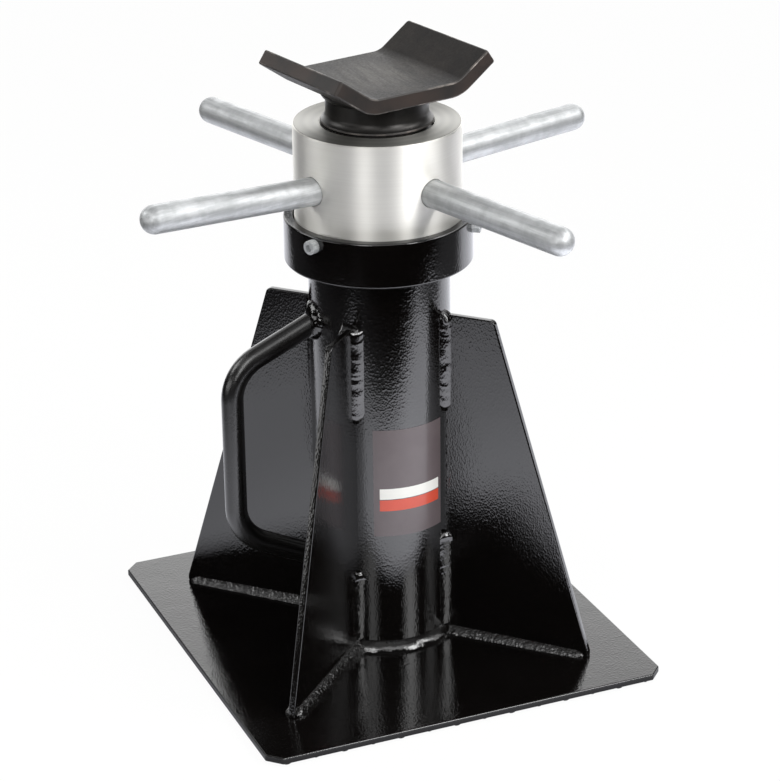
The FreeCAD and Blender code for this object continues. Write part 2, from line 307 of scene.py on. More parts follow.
def between(factor, first, second):
    """A tone between two. Each is a screen colour or an output."""
    first, second = (tone if is_output(tone) else colour(tone) for tone in (first, second))
    inputs = {"Factor": factor, "A": first, "B": second}
    return node(factor.id_data, "Mix", inputs, data_type="RGBA").outputs["Result"]


def relief(height, depth, strength=1.0, over=None):
    """Bumps of this depth in millimetres, over an earlier relief where there is one."""
    inputs = {"Height": height, "Strength": strength, "Distance": depth * MM}
    if over:
        inputs["Normal"] = over
    return node(height.id_data, "Bump", inputs).outputs["Normal"]


# %% [markdown]
# ## Light
# The picture is a studio shot on a white table. Gloss black paint shows nothing but the room round it, so
# the room is built: a world that is white behind and dark towards the camera, and six soft boxes. The one
# at the front right draws the broad upright streak on the tube. A strip at the front left draws a weaker
# one, and a low box on the left lights the gussets' edges. Boxes on the right and at the back left light
# the bars, and a large one hangs above. In the world's ramps a height is the sine of an elevation. The
# camera itself sees white.

# %% World
TO_BACK, TO_RIGHT = (0.39, 0.92, 0.0), (0.92, -0.39, 0.0)
world = bpy.data.worlds.new("studio")
bpy.context.scene.world = world
world.use_nodes = True
tree = world.node_tree
tree.nodes.clear()
direction = node(tree, "TexCoord").outputs["Generated"]
height = node(tree, "SeparateXYZ", {"Vector": direction}).outputs["Z"]
room = times(ramp(height, 0.52, 0.64, 0.04, 2.4), ramp(height, 0.72, 0.86, 1.0, 0.08))
room = times(room, ramp(measured("DOT_PRODUCT", direction, TO_RIGHT), -0.55, -0.10, 0.35, 1.0))
sheet = ramp(height, 0.42, 0.66, 2.5, 0.7)
behind = ramp(measured("DOT_PRODUCT", direction, TO_BACK), 0.58, 0.95, 0.0, 1.0)
unseen = times(mixed(behind, room, sheet), ramp(height, -0.25, 0.05, 0.04, 1.0))
level = mixed(node(tree, "LightPath").outputs["Is Camera Ray"], unseen, 1.0)
glow = node(tree, "Background", {"Color": colour("#ffffff"), "Strength": level})
node(tree, "OutputWorld", {"Surface": glow.outputs["Background"]})

# %% Lamps
stand_middle = Vector((0, 0, 0.25))


def soft_box(name, azimuth, elevation, distance, width, height, power):
    """A square lamp that faces the middle of the stand. It shows in gloss, but not to the camera."""
    lamp = bpy.data.lights.new(name, "AREA")
    lamp.shape, lamp.size, lamp.size_y, lamp.energy = "RECTANGLE", width, height, power
    box = bpy.data.objects.new(name, lamp)
    bpy.context.scene.collection.objects.link(box)
    a, e = radians(azimuth), radians(elevation)
    outward = Vector((cos(a) * cos(e), sin(a) * cos(e), sin(e)))
    box.location = stand_middle + outward * distance
    box.rotation_euler = outward.to_track_quat("Z", "Y").to_euler()
    box.visible_camera = False
    print(name, "radiance", round(power / (pi * width * height), 2))


soft_box("front_right_box", 293, 24, 1.6, 0.5, 0.65, 11.5)
soft_box("right_box", 328, 38, 1.6, 0.7, 0.5, 7.5)
soft_box("front_left_strip", 229, 24, 1.6, 0.42, 0.9, 6.2)
soft_box("left_box", 183, 4, 1.6, 1.1, 0.4, 3.2)
soft_box("back_left_box", 150, 28, 1.6, 0.8, 0.5, 5)
soft_box("top_box", 250, 70, 1.5, 1.4, 1.4, 1.8)

# %% [markdown]
# ## The table
# A pale sheet under the stand, larger behind than in front. To the camera it is white with a faint shadow
# left in it. In gloss it glows with painted light: a painted pool of light under the lamp at the front
# right, painted shade close to the plate, and a painted fade towards its front and left edges and one corner
# on the right, as a lit table top shows. Its ramps run over metres on the table.

# %% Floor
plate_halves = {"X": 0.153, "Y": 0.162}
nothing_selected()
bpy.ops.mesh.primitive_plane_add(size=3.4, location=(0.9, 1.1, -0.0002))
floor = named("table_sheet")
finish, shader, place = new_finish("white_paper_sheet")
feed(shader, {"Base Color": colour("#f2f2f0"), "Roughness": 0.9, "Specular IOR Level": 0.0})
tree = finish.node_tree
spot = node(tree, "SeparateXYZ", {"Vector": place}).outputs
# Painted light for gloss: it fades out towards the table's front and left edges
lit = times(1.4, ramp(measured("DOT_PRODUCT", place, (0.30, 1.0, 0.0)), -0.57, -0.46, 0.05, 1.0))
lit = times(lit, ramp(measured("DOT_PRODUCT", place, (1.0, -0.25, 0.0)), -0.62, -0.46, 0.05, 1.0))
# A painted pool of light under the front right lamp
lit = times(lit, ramp(measured("DISTANCE", place, (0.15, -0.35, 0.0)), 0.58, 0.06, 1.0, 2.3, "LINEAR"))
lit = times(lit, ramp(spot["X"], 0.3, 0.8, 1.0, 1.4))
# Painted shade over one corner on the right
aside = ramp(measured("DOT_PRODUCT", place, (1.0, -0.4, 0.0)), 0.66, 0.82, 0.0, 0.9)
corner = times(aside, ramp(spot["Y"], 0.10, -0.12, 0.0, 1.0))
lit = times(lit, reckon("SUBTRACT", 1.0, corner))
# Painted shadow close to the plate
past = [reckon("SUBTRACT", reckon("ABSOLUTE", spot[axis]), half) for axis, half in plate_halves.items()]
lit = times(lit, ramp(reckon("MAXIMUM", *past), 0.0, 0.05, 0.2, 1.0))
rays = node(tree, "LightPath").outputs
seen = rays["Is Camera Ray"]
tone = between(seen, "#f4f5fc", "#ffffff")
white = node(tree, "Emission", {"Color": tone, "Strength": mixed(seen, lit, 1.0)})
share = reckon("MAXIMUM", times(0.95, seen), rays["Is Glossy Ray"])
surface = node(tree, "MixShader", {"Fac": share, 1: shader.outputs["BSDF"], 2: white.outputs["Emission"]})
feed(tree.nodes["Material Output"], {"Surface": surface.outputs["Shader"]})
floor.data.materials.append(finish)
print("floor", [round(side, 2) for side in floor.dimensions])

# %% [markdown]
# ## Black enamel
# Alkyd enamel, sprayed thick over raw steel and cured shiny. The film pulls itself into shallow cells as it
# dries, the painter's orange peel, which breaks each reflection into specks along its edge. The cells are
# about 1.1 mm wide on the walls. On the plate, seen at a slant, they are drawn coarser, since the true ones
# would be too fine to show. Over the beads at the gussets' feet the paint follows the grain of the weld,
# and on the handle it is duller.

# %% Black enamel


def enamel(name, cell, depth, grain=0.0, dull=0.05):
    """Black paint with peel of this width and depth, over a weld of this grain, in mm, and this dullness."""
    finish, shader, place = new_finish(name)
    inputs = {"Vector": stretched(place, (1, 1, 0.6)), "Scale": per_metre(cell)}
    cells = node(finish.node_tree, "TexVoronoi", inputs).outputs["Distance"]
    skin = relief(times(cells, cells), depth, over=relief(noise(place, 24, 1.0), 0.10))
    if grain:
        skin = relief(noise(place, 1.8, 2.0), grain, over=skin)
    drift = noise(place, 45, 4.0, 0.6)
    feed(shader, {"Base Color": between(drift, "#060504", "#0a0808"), "IOR": 1.65, "Normal": skin,
                  "Roughness": ramp(drift, 0.3, 0.75, dull, dull + 0.05, "LINEAR")})
    return finish


black_enamel = enamel("black_enamel", 1.1, 0.058)
plate_enamel = enamel("black_enamel_on_plate", 1.4, 0.05)
weld_enamel = enamel("black_enamel_over_weld", 1.1, 0.058, grain=0.6)
handle_enamel = enamel("black_enamel_on_handle", 1.1, 0.04, dull=0.26)

# %% [markdown]
# ## Bare and plated metals
# The nut is bright steel straight from the lathe, so its marks run round it and its reflections spread up
# and down. The bars and screws are zinc plated: bluer, softer, blotched where the bath and the handling
# left stains. The spindle is oiled black steel. Metals keep the default index of refraction and get their
# tone from the base colour.

# %% Turned steel, and faced steel on the nut's top


def turned_shine(shader, strength):
    """Spread a metal's reflections across marks that run round the upright axis."""
    radial = node(shader.id_data, "Tangent", direction_type="RADIAL", axis="Z").outputs["Tangent"]
    feed(shader, {"Metallic": 1.0, "Anisotropic": strength, "Anisotropic Rotation": 0.25, "Tangent": radial})


turned_steel, shader, place = new_finish("turned_bright_steel")
rings = noise(stretched(place, (6, 6, per_metre(0.9))), UNIT, 3.0, 0.7)
marks = mixed(0.35, rings, lathe_marks(place, 1.4, 0.6))
feed(shader, {"Base Color": between(rings, "#e6e4df", "#f1f0eb"), "Normal": relief(marks, 0.02, 0.6),
              "Roughness": ramp(noise(place, 30, 3.0), 0.3, 0.7, 0.55, 0.63, "LINEAR")})
turned_shine(shader, 0.86)

faced_steel, shader, place = new_finish("faced_bright_steel")
cuts = lathe_marks(stretched(place, (1, 1, 0)), 1.2, 0.5)
feed(shader, {"Base Color": between(cuts, "#878682", "#8f8e89"), "Roughness": 0.48,
              "Normal": relief(cuts, 0.02, 0.2)})
turned_shine(shader, 0.8)

# %% Zinc plate
bar_turn = 17.3


def zinc_on_bar(name, turn):
    """Zinc plate over round bar whose drawing marks run along this direction."""
    finish, shader, place = new_finish(name)
    along = stretched(place, (1, 1, 1), -turn)
    streaks = noise(stretched(along, (per_metre(50), per_metre(2.4), per_metre(2.4))), UNIT, 4.0, 0.6)
    marks = mixed(0.5, streaks, noise(place, 11, 5.0, 0.6))
    feed(shader, {"Base Color": between(ramp(marks, 0.38, 0.62, 0.0, 1.0), "#b0b2b3", "#cacccd"),
                  "Metallic": 0.85, "Roughness": ramp(marks, 0.3, 0.7, 0.60, 0.50),
                  "Normal": relief(streaks, 0.04, 0.3)})
    return finish


zinc_plate = zinc_on_bar("zinc_plated_steel", bar_turn)
zinc_plate_across = zinc_on_bar("zinc_plated_steel_across", bar_turn + 90)

# %% Oiled black steel
black_steel, shader, place = new_finish("oiled_black_steel")
smear = noise(place, 14, 4.0, 0.6)
feed(shader, {"Base Color": between(smear, "#222120", "#363432"), "Metallic": 0.6,
              "Roughness": ramp(smear, 0.3, 0.7, 0.28, 0.42, "LINEAR"),
              "Normal": relief(noise(place, 0.9, 2.0), 0.03, 0.4)})

# %% [markdown]
# ## Mill scale, bronze and the plain panel
# The saddle is hot-rolled plate left in its own brown-black scale, dry and soft in its shine, with a bare
# rub along the edges that chains and axles touch. The thrust washer is bronze. The panel on the tube is
# printed vinyl in three plain colours, smoother than the paint round it.

# %% Mill scale, its rubbed edges and its sheared ends
saddle_turn = 11.9
saddle_middle = (0, 0, 0.431)

mill_scale, shader, place = new_finish("mill_scale_plate")
patch = ramp(noise(place, 22, 6.0, 0.62), 0.35, 0.68, 0.0, 1.0, "LINEAR")
flake = noise(place, 1.5, 3.0, 0.55)
rolled = stretched(place, (per_metre(3), per_metre(40), per_metre(20)), -saddle_turn)
streaks = ramp(noise(rolled, UNIT, 4.0, 0.6), 0.35, 0.65, 0.2, 1.0)
worn = times(ramp(measured("DISTANCE", place, saddle_middle), 0.048, 0.010, 0.0, 0.8), streaks)
feed(shader, {"Base Color": between(worn, between(patch, "#1d1b1a", "#2f2b28"), "#4e4b47"), "Metallic": 0.2,
              "Roughness": ramp(flake, 0.3, 0.7, 0.44, 0.60, "LINEAR"), "Specular IOR Level": 0.2,
              "Normal": relief(flake, 0.05, 0.7)})

rubbed_edge, shader, place = new_finish("rubbed_steel_edge")
bare = ramp(noise(place, 16, 3.0, 0.6), 0.48, 0.72, 0.0, 1.0)
feed(shader, {"Base Color": between(bare, "#34312f", "#77716c"),
              "Roughness": ramp(bare, 0.0, 1.0, 0.5, 0.36, "LINEAR"),
              "Metallic": ramp(bare, 0.0, 1.0, 0.2, 0.9, "LINEAR")})

sheared_end, shader, place = new_finish("sheared_plate_end")
tears = noise(stretched(place, (per_metre(3), per_metre(3), per_metre(16))), UNIT, 4.0, 0.6)
rust = ramp(noise(place, 30, 3.0), 0.36, 0.62, 0.0, 1.0, "LINEAR")
feed(shader, {"Base Color": between(rust, "#221f1d", "#352b26"), "Metallic": 0.2, "Roughness": 0.48,
              "Normal": relief(tears, 0.12, 0.6)})

# %% Bronze
bronze, shader, place = new_finish("oiled_bronze")
feed(shader, {"Base Color": between(lathe_marks(place, 0.8, 0.4), "#8a6a3a", "#b08a4c"), "Metallic": 1.0,
              "Roughness": 0.35})

# %% Printed vinyl
panel_finishes = []
for ink, darker, lighter in (("grey_vinyl", "#504648", "#5c5254"), ("white_vinyl", "#dddcd8", "#ebebe8"),
                             ("red_vinyl", "#bd3f27", "#cf4a2e")):
    finish, shader, place = new_finish(ink)
    feed(shader, {"Base Color": between(noise(place, 16, 4.0), darker, lighter), "Roughness": 0.22,
                  "Normal": relief(noise(place, 3.0, 1.0), 0.05, 0.5), "IOR": 1.5})
    panel_finishes.append(finish)
print("finishes:", [material.name for material in bpy.data.materials if material.use_nodes])

# %% [markdown]
# ## Handing a piece over
# A finished piece is shaded smooth except at its real edges, with the broad faces weighted so that a
# rounded edge doesn't bend their reflections. Then it gets its finish and the body that it rides on, and
# the nodes that it stands for are hidden.

# %% Helpers for a finished piece


def finished(piece, body, finishes, nodes=(), sharp=40):
    """Shade a piece, give it its finishes, and tie it to the frame."""
    take(piece)
    bpy.ops.object.shade_smooth_by_angle(angle=radians(sharp))
    modify(piece, "WEIGHTED_NORMAL", keep_sharp=True)
    if not piece.data.materials:
        for finish in finishes:
            piece.data.materials.append(finish)
    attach(piece, body)
    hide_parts(*nodes)
    low, high = (Vector(piece.bound_box[place]) * 1000 for place in (0, 6))
    print(piece.name, len(piece.data.polygons), "faces, mm", [round(value, 1) for value in (*low, *high)])


def painted(piece, node_name, finish=black_enamel, sharp=40):
    """Hand over a piece of the welded stand in its black paint."""
    finished(piece, "stand", [finish], [node_name], sharp)


# %% [markdown]
# ## The base plate
# A piece of tread plate, laid with its pattern down so that the lugs bite the floor, and with its corners
# cut off. A cube gives the plate: its upright edges are bevelled once for the corner cuts, then every edge
# a little, because paint rounds a sheared edge. One lug is the lower half of a flattened ball. Four of them
# make a tile, lying along and across by turns, and arrays spread the tile. The plate's own outline then
# trims what stands over.

# %% Plate
plate_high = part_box("base_plate")[1]
plate_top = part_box("column_tube")[0].z
lug_height = 1.5 * MM
corner_cut = 9.7 * MM
plate_ease = 1.0 * MM

nothing_selected()
bpy.ops.mesh.primitive_cube_add(
    size=1, location=(0, 0, (plate_top + lug_height) / 2),
    scale=(plate_high.x * 2, plate_high.y * 2, plate_top - lug_height))
tread_plate = named("tread_plate")
edit(tread_plate)
pick("edges", lambda edge: abs((edge.verts[0].co - edge.verts[1].co).normalized().z) > 0.9)
bpy.ops.mesh.bevel(offset=corner_cut, segments=1, affect="EDGES")
bpy.ops.mesh.select_all(action="SELECT")
bpy.ops.mesh.bevel(offset=plate_ease, segments=3, affect="EDGES")
print("plate faces", len(bmesh.from_edit_mesh(tread_plate.data).faces))

# %% Lugs
lug_pitch = 21.35 * MM
lug_shift = 9.6 * MM
lug_half_length, lug_half_width = 13 * MM, 4 * MM
sunk = 0.2 * MM
field_half = 8

nothing_selected()
bpy.ops.mesh.primitive_uv_sphere_add(
    segments=16, ring_count=8, radius=1, location=(0, 0, lug_height + sunk),
    scale=(lug_half_length, lug_half_width, lug_height + sunk))
lug = named("lug")
edit(lug)
bpy.ops.mesh.bisect(plane_co=(0, 0, lug_height + sunk), plane_no=UP, use_fill=True, clear_outer=True)
start = Vector((lug_shift - field_half * lug_pitch, -field_half * lug_pitch, 0))
tile = joined("lug_field", *[
    copy_of(lug, "lug_copy", turn, start + Vector((column, row, 0)) * lug_pitch)
    for column, row, turn in ((0, 0, 0), (1, 1, 0), (1, 0, 90), (0, 1, 90))])
scrap(lug)
for offset in ((2 * lug_pitch, 0, 0), (0, 2 * lug_pitch, 0)):
    modify(tile, "ARRAY", count=field_half + 1, use_relative_offset=False, use_constant_offset=True,
           constant_offset_displace=offset)
edit(tile)
half_x, half_y = plate_high.x - plate_ease, plate_high.y - plate_ease
cut = corner_cut / sqrt(2)
for side_x, side_y in ((1, 0), (-1, 0), (0, 1), (0, -1), (1, 1), (1, -1), (-1, 1), (-1, -1)):
    outward = Vector((side_x, side_y, 0)).normalized()
    reach = Vector((side_x * half_x, side_y * half_y, 0))
    if side_x and side_y:
        reach -= outward * cut
    bpy.ops.mesh.select_all(action="SELECT")
    bpy.ops.mesh.bisect(plane_co=reach, plane_no=outward, use_fill=True, clear_outer=True)
tread_plate = joined("tread_plate", tread_plate, tile)
painted(tread_plate, "base_plate", plate_enamel)

# %% [markdown]
# ## The gussets
# Four triangles of 5 mm plate stand on the diagonals, square against the plate and the tube and sloped
# outside. One is cut from a block: bisect takes off the slope and leaves the short nose at the foot, a
# bevel rounds the top corner, and a finer one eases every edge. The other three are copies, turned about
# the column.

# %% Gussets
column_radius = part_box("column_tube")[1].x
gusset_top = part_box("gusset_near")[1].z
gusset_thickness = 5 * MM
gusset_reach, gusset_top_reach, gusset_nose = 164.03 * MM, 88.7 * MM, 4 * MM
gusset_angles = {"far": 43.7, "left": 133.7, "near": 223.7, "right": 313.7}
gusset_corner, gusset_ease = 3 * MM, 0.9 * MM
root = column_radius - 0.8 * MM

nothing_selected()
bpy.ops.mesh.primitive_cube_add(
    size=1, location=((root + gusset_reach) / 2, 0, (plate_top + gusset_top) / 2),
    scale=(gusset_reach - root, gusset_thickness, gusset_top - plate_top))
gusset = named("gusset_plate")
edit(gusset)
slope_foot = Vector((gusset_reach, 0, plate_top + gusset_nose))
corner = Vector((gusset_top_reach, 0, gusset_top))
slope = corner - slope_foot
bpy.ops.mesh.bisect(plane_co=slope_foot, plane_no=(slope.z, 0, -slope.x), use_fill=True, clear_outer=True)
pick("edges", lambda edge: (middle(edge) - corner).length < 0.5 * MM)
bpy.ops.mesh.bevel(offset=gusset_corner, segments=6, affect="EDGES")
bpy.ops.mesh.select_all(action="DESELECT")
bpy.ops.mesh.edges_select_sharp(sharpness=radians(50))
bpy.ops.mesh.bevel(offset=gusset_ease, segments=3, affect="EDGES")
nothing_selected()
for place_name, angle in gusset_angles.items():
    painted(copy_of(gusset, "gusset_plate_" + place_name, angle), "gusset_" + place_name)
scrap(gusset)

# %% [markdown]
# ## The column
# A length of thick-walled pipe. An open cylinder with enough sides to look round gets its wall from
# Solidify, inwards so that the outside keeps its size.

# %% Column
column_low, column_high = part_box("column_tube")
column_wall = 8.8 * MM
nothing_selected()
bpy.ops.mesh.primitive_cylinder_add(
    vertices=160, radius=column_radius, depth=column_high.z - column_low.z, end_fill_type="NOTHING",
    location=(0, 0, (column_low.z + column_high.z) / 2))
column = named("column_pipe")
modify(column, "SOLIDIFY", thickness=column_wall, offset=-1, use_even_offset=True)
painted(column, "column_tube")

# %% [markdown]
# ## The panel on the tube
# A thin vinyl panel is stuck on the front of the tube: plain grey, with a white and a red band across it.
# Its upright edge is one line of points, drawn by extrude at the heights where the colours change, and Spin
# sweeps that line round the tube. The faces of each band then get their own finish, and Solidify gives the
# vinyl its thickness.

# %% Panel
panel_foot, panel_head = 99, 183
red_foot, red_head = 119.2, 127.9
white_foot, white_head = 128.5, 136.8
panel_start, panel_end = 240.5, 304.0
band_start, band_end = 245.5, 300.5
panel_radius = column_radius / MM + 0.05
panel_thickness = 0.12 * MM
panel = drawn_line("plain_panel", [
    (panel_radius, level) for level in (panel_foot, red_foot, red_head, white_foot, white_head, panel_head)])
panel.rotation_euler.z = radians(panel_start)
edit(settled(panel))
bpy.ops.mesh.spin(steps=127, angle=-radians(panel_end - panel_start), center=(0, 0, 0), axis=UP)
nothing_selected()
for finish in panel_finishes:
    panel.data.materials.append(finish)
for face in panel.data.polygons:
    angle = degrees(atan2(face.center.y, face.center.x)) % 360
    height = face.center.z / MM
    if band_start < angle < band_end:
        white, red = white_foot < height < white_head, red_foot < height < red_head
        face.material_index = 1 if white else 2 if red else 0
if sum(face.normal.dot(Vector((face.center.x, face.center.y, 0))) for face in panel.data.polygons) < 0:
    edit(panel)
    bpy.ops.mesh.flip_normals()
modify(panel, "SOLIDIFY", thickness=panel_thickness, offset=1)
finished(panel, "stand", [], [])

# %% [markdown]
# ## The handle
# One round bar, bent twice, welded to the tube at both ends. It is drawn as it is bent: a ring of points is
# extruded along the first leg, spun round the first bend, extruded down the grip, spun again and extruded
# back. It is drawn in the XZ plane and then turned to its side of the column.

# %% Handle
handle_radius = 8 * MM
handle_reach = 113.5 * MM
grip_half = 63.7 * MM
leg_angle = radians(25.3)
bend_radius = 34 * MM
handle_middle = plate_top + 154.8 * MM
handle_turn = 178.7
leg_root = column_radius - 3 * MM

turn_angle = pi / 2 - leg_angle
tangent = bend_radius * tan(turn_angle / 2)
leg = Vector((cos(leg_angle), 0, -sin(leg_angle)))
leg_length = (handle_reach - leg_root) / leg.x
top_corner = Vector((handle_reach, 0, handle_middle + grip_half))
leg_start = top_corner - leg * leg_length
nothing_selected()
bpy.ops.mesh.primitive_circle_add(
    vertices=40, radius=handle_radius, fill_type="NOTHING", location=leg_start,
    rotation=leg.to_track_quat("Z", "Y").to_euler())
handle = named("bent_handle")
edit(handle)
straight = leg * (leg_length - tangent)
down_the_grip = (0, 0, 2 * (tangent - grip_half))
high_bend, low_bend = top_corner.z - tangent, handle_middle - grip_half + tangent
for run, bend_level in ((straight, high_bend), (down_the_grip, low_bend)):
    bpy.ops.mesh.extrude_edges_move(TRANSFORM_OT_translate={"value": run})
    bpy.ops.mesh.spin(steps=14, angle=-turn_angle, axis=(0, 1, 0), use_auto_merge=False,
                      center=(handle_reach - bend_radius, 0, bend_level))
bpy.ops.mesh.extrude_edges_move(TRANSFORM_OT_translate={"value": (-straight.x, 0, straight.z)})
bpy.ops.mesh.select_all(action="SELECT")
bpy.ops.mesh.remove_doubles(threshold=0.001 * MM)
bpy.ops.mesh.select_all(action="DESELECT")
bpy.ops.mesh.select_non_manifold()
bpy.ops.mesh.fill_holes(sides=0)
facing_out()
nothing_selected()
handle.rotation_euler.z = radians(handle_turn)
painted(settled(handle), "carry_handle", handle_enamel)

# %% [markdown]
# ## Weld beads
# The stand is held together by hand-laid beads, and the paint lies over them like a skin. A bead is a row
# of drops of metal that froze one after another, so it is built that way: one flattened ball fills the
# corner, its two toes drawn back into a crescent, and copies of it are laid along the seam at uneven steps.
# A voxel Remesh then melts all the drops into one closed skin, and a Displace with a cloud pattern makes
# the lumps of a moving hand.

# %% Helpers for beads
OUT, SIDE = Vector((1, 0, 0)), Vector((0, 1, 0))
lumps = bpy.data.textures.new("weld_lumps", "CLOUDS")
toe_draw = 0.012
drop_width, drop_seat = 1.05, 0.283
drop_steps, drop_sizes = (1.1, 2.2), (0.985, 1.015)
ebb_length, ebb_size = 9 * MM, 0.6


def weld_drop(name, leg, stretch=0.6, bulge=0.42):
    """One frozen drop in the corner of two walls: the corner runs along X, the walls along +Y and +Z."""
    nothing_selected()
    bpy.ops.mesh.primitive_uv_sphere_add(segments=24, ring_count=16, radius=1)
    piece = bpy.context.object
    edit(piece)
    for step in range(1, 9):
        pick("verts", lambda vert: abs(vert.co.y) > step / 9)
        bpy.ops.transform.translate(value=(-toe_draw * (2 * step - 1), 0, 0))
    nothing_selected()
    size = Matrix.Diagonal((stretch * leg, drop_width * leg, bulge * leg, 1))
    into_corner = Matrix.Rotation(radians(-45), 4, "X")
    piece.matrix_world = Matrix.Translation(Vector((0, 1, 1)) * drop_seat * leg) @ into_corner @ size
    return named(name)


def uneven_steps(length, seed, swell=0.0):
    """Places along a seam and drop sizes, uneven as a hand's, with a swell and an ebb at the end."""
    hand = random.Random(seed)
    place = 0.0
    while place < length:
        ebbing = min(1, ebb_size + (length - place) / ebb_length)
        yield place, hand.uniform(*drop_sizes) * (1 + swell * (place / length - 0.5)) * ebbing
        place += hand.uniform(*drop_steps) * MM


def straight_bead(name, leg, length, seed, swell=0.0, stretch=0.6, bulge=0.42):
    """A row of drops along X, from the origin."""
    drop = weld_drop("drop", leg, stretch, bulge)
    row = [copy_of(drop, "drop", move=(place, 0, 0), size=size)
           for place, size in uneven_steps(length, seed, swell)]
    scrap(drop)
    return joined(name, *row)


def laid(bead, corner, along, first_wall, second_wall, turn=0.0):
    """A copy of a bead in its corner, turned about the column. The three directions are right-handed."""
    piece = copy_of(bead, "laid_bead")
    axes = Matrix((along, first_wall, second_wall)).transposed().to_4x4()
    piece.matrix_world = Matrix.Rotation(radians(turn), 4, "Z") @ Matrix.Translation(corner) @ axes
    return settled(piece)


def melted(name, *beads, voxel=0.6 * MM, lump=0.5 * MM, lump_width=10 * MM):
    """Beads made one closed skin, with the unevenness of a hand, and then thinned where it is flat."""
    piece = joined(name, *beads) if len(beads) > 1 else beads[0]
    piece.name = piece.data.name = name
    modify(piece, "REMESH", mode="VOXEL", voxel_size=voxel)
    lumps.noise_scale = lump_width
    modify(piece, "DISPLACE", texture=lumps, strength=lump, mid_level=0.5, texture_coords="LOCAL")
    modify(piece, "SMOOTH", factor=0.5, iterations=4)
    modify(piece, "DECIMATE", ratio=0.4)
    return piece


# %% [markdown]
# The gussets' feet carry a bead on each side, from the tube's own bead out to the nose. The seams run
# outwards, so the walls are the plate and the gusset's side. A few balls of spatter froze on the plate
# beside them.

# %% Beads at the gussets' feet
start = column_radius + 4 * MM
half = gusset_thickness / 2
foot_length = gusset_reach - start - 5 * MM
foot_rows = [straight_bead("foot_bead", foot_leg * MM, foot_length, seed, -0.25, 0.9, bulge)
             for foot_leg, seed, bulge in ((6.8, 3, 0.42), (6.8, 11, 0.42), (5.4, 4, 0.3), (5.4, 12, 0.3))]
spatter_sides, spatter_radii, spatter_reach = (6, 9, -7), (1.1, 1.7), (58, 66)
beads = []
for place_name, angle in gusset_angles.items():
    first, second = foot_rows[2:] if place_name in ("left", "right") else foot_rows[:2]
    beads.append(laid(first, (start, half, plate_top), OUT, SIDE, UP, angle))
    beads.append(laid(second, (start, -half, plate_top), OUT, UP, -SIDE, angle))
hand = random.Random(7)
for angle in gusset_angles.values():
    for side in spatter_sides:
        turn = radians(angle + side)
        ball, out = hand.uniform(*spatter_radii) * MM, hand.uniform(*spatter_reach) * MM
        nothing_selected()
        bpy.ops.mesh.primitive_ico_sphere_add(
            subdivisions=2, radius=ball,
            location=(out * cos(turn), out * sin(turn), plate_top + 0.4 * ball))
        beads.append(named("spatter"))
gusset_foot_beads = melted("gusset_foot_beads", *beads, lump=0.6 * MM, lump_width=3 * MM)
scrap(*foot_rows)
painted(gusset_foot_beads, "gusset_foot_welds", weld_enamel, sharp=80)

# %% [markdown]
# Upright stitches hold the gussets to the tube, one at the foot and one at the top of each side. At the top
# the welder ran the bead over the gusset's end, so a few more drops close it across.

# %% Stitches up the column
low_stitch = plate_top + 8 * MM
high_stitch = gusset_top - 5 * MM
corner_radius = sqrt(column_radius ** 2 - half ** 2)
stitches = [straight_bead("stitch", leg_size * MM, length * MM, seed, swell, stretch, bulge)
            for leg_size, length, seed, swell, stretch, bulge in (
                (5.6, 54, 5, 0.35, 0.4, 0.27), (6.8, 66, 8, 0.0, 0.6, 0.34),
                (6.7, 74, 21, 0.2, 0.4, 0.27), (6.2, 68, 34, 0.0, 0.6, 0.34))]
over = straight_bead("over_the_end", 5 * MM, gusset_thickness + 4 * MM, 2)
beads = []
seams = ((half, low_stitch, UP, OUT, SIDE), (half, high_stitch, -UP, SIDE, OUT),
         (-half, low_stitch, UP, -SIDE, OUT), (-half, high_stitch, -UP, OUT, -SIDE))
for angle in gusset_angles.values():
    for stitch, (side, level, *directions) in zip(stitches, seams):
        beads.append(laid(stitch, (corner_radius, side, level), *directions, angle))
    beads.append(laid(over, (column_radius, -half - 2 * MM, gusset_top - 2 * MM), SIDE, UP, OUT, angle))
gusset_stitches = melted("gusset_stitches", *beads, lump=0.4 * MM)
scrap(*stitches, over)
painted(gusset_stitches, "gusset_column_welds", sharp=80)

# %% [markdown]
# The tube's foot has a bead all round, broken by the gussets. One drop is set in its corner, and copies of
# it are turned about the column step by step, which is how a bead on a round seam is laid.

# %% Beads round the column


def ring_bead(leg, radius, level, rise, from_angle, to_angle, seed):
    """Drops round the column's axis, in the corner of a round wall and a flat one."""
    drop = weld_drop("arc_bead", leg, stretch=0.95, bulge=0.5)
    first = laid(drop, (radius, 0, level), OUT.cross(rise), OUT, rise)
    arc = radians(to_angle - from_angle) * radius
    row = [copy_of(first, "arc_bead", turn=from_angle + degrees(place / radius))
           for place, _ in uneven_steps(arc, seed)]
    scrap(drop, first)
    return joined("arc_bead", *row)


arc_start, arc_end = 4, 86
column_foot_bead = melted("column_foot_bead", *[
    ring_bead(6.4 * MM, column_radius, plate_top, UP, angle + arc_start, angle + arc_end, seed)
    for seed, angle in enumerate(gusset_angles.values())], lump=0.5 * MM)
painted(column_foot_bead, "column_foot_weld", sharp=80)

collar_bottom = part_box("collar_cup")[0].z
under_collar = ring_bead(4 * MM, column_radius, collar_bottom, -UP, 0, 360, 6)
collar_bead = melted("collar_bead", under_collar, lump=0.4 * MM)
painted(collar_bead, "collar_weld", sharp=80)

# %% [markdown]
# The handle's ends are welded all round where the bar meets the tube. That seam is a saddle curve: each
# drop slides along the bar's side until it meets the tube, which is a quadratic in one unknown.

